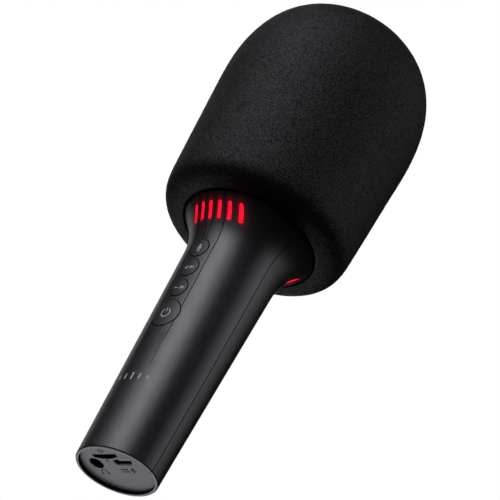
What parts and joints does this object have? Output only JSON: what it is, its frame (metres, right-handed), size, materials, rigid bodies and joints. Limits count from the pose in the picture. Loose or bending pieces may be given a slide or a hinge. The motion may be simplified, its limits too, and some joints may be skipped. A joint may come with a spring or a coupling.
{
  "type": "karaoke microphone",
  "caption": "Handheld wireless karaoke microphone with a large foam head, flared neck with red light slots, round push buttons and sockets in its base.",
  "frame": {"origin": "centre of the base, on the rim that the microphone stands on", "axes": "+Z along the microphone towards the foam head, -Y towards the side with the buttons, +X to the right when the buttons are faced"},
  "size_m": [0.0852, 0.0852, 0.2285],
  "materials": {
    "shell_plastic": "satin",
    "plate_plastic": "matte",
    "button_plastic": "satin",
    "foam": "matte",
    "light_plastic": "gloss",
    "clear_plastic": "gloss",
    "inner_plastic": "matte",
    "board": "satin",
    "chip": "matte",
    "led": "gloss",
    "steel": "satin",
    "black_steel": "satin",
    "magnet": "matte",
    "copper": "satin",
    "paper": "matte",
    "rubber": "matte",
    "cell": "satin",
    "ring_metal": "satin"
  },
  "bodies": {
    "handset": {"front_shell": "shell_plastic", "rear_shell": "shell_plastic", "port_plate": "plate_plastic", "usb_receptacle": "steel", "jack_socket": "inner_plastic", "card_socket": "inner_plastic", "light_pipe": "clear_plastic", "main_board": "board", "board_chips": "chip", "main_board_screws": "steel", "battery_cell": "cell", "cell_holder": "inner_plastic", "cell_contacts": "steel", "cell_pad": "rubber", "key_board": "board", "key_board_screws": "steel", "tact_switches": "inner_plastic", "light_board": "board", "ring_leds": "led", "front_light_guide": "light_plastic", "rear_light_guide": "light_plastic", "head_ring": "ring_metal", "head_ring_screws": "steel", "speaker_frame": "black_steel", "speaker_magnet": "magnet", "speaker_surround": "rubber", "speaker_gasket": "rubber", "capsule_cradle": "inner_plastic", "capsule_mount": "rubber", "mic_capsule": "ring_metal", "head_grille": "black_steel"},
    "windscreen": {"foam_windscreen": "foam"},
    "cone": {"speaker_cone": "paper", "dust_cap": "paper", "voice_coil": "copper"},
    "mode_key": {"mode_button": "button_plastic", "mode_plunger": "inner_plastic"},
    "plus_key": {"plus_button": "button_plastic", "plus_plunger": "inner_plastic"},
    "minus_key": {"minus_button": "button_plastic", "minus_plunger": "inner_plastic"},
    "power_key": {"power_button": "button_plastic", "power_plunger": "inner_plastic"}
  },
  "joints": [
    {"name": "windscreen_pull", "type": "slide", "parent": "handset", "child": "windscreen", "axis": [0, 0, 1], "range_m": [0, 0.11]},
    {"name": "cone_travel", "type": "slide", "parent": "handset", "child": "cone", "axis": [0, 0, 1], "range_m": [-0.0008, 0.0008], "stiffness_N_per_m": 1500},
    {"name": "mode_press", "type": "slide", "parent": "handset", "child": "mode_key", "axis": [0, 1, 0], "range_m": [0, 0.0004], "stiffness_N_per_m": 600},
    {"name": "plus_press", "type": "slide", "parent": "handset", "child": "plus_key", "axis": [0, 1, 0], "range_m": [0, 0.0004], "stiffness_N_per_m": 600},
    {"name": "minus_press", "type": "slide", "parent": "handset", "child": "minus_key", "axis": [0, 1, 0], "range_m": [0, 0.0004], "stiffness_N_per_m": 600},
    {"name": "power_press", "type": "slide", "parent": "handset", "child": "power_key", "axis": [0, 1, 0], "range_m": [0, 0.0004], "stiffness_N_per_m": 600}
  ]
}
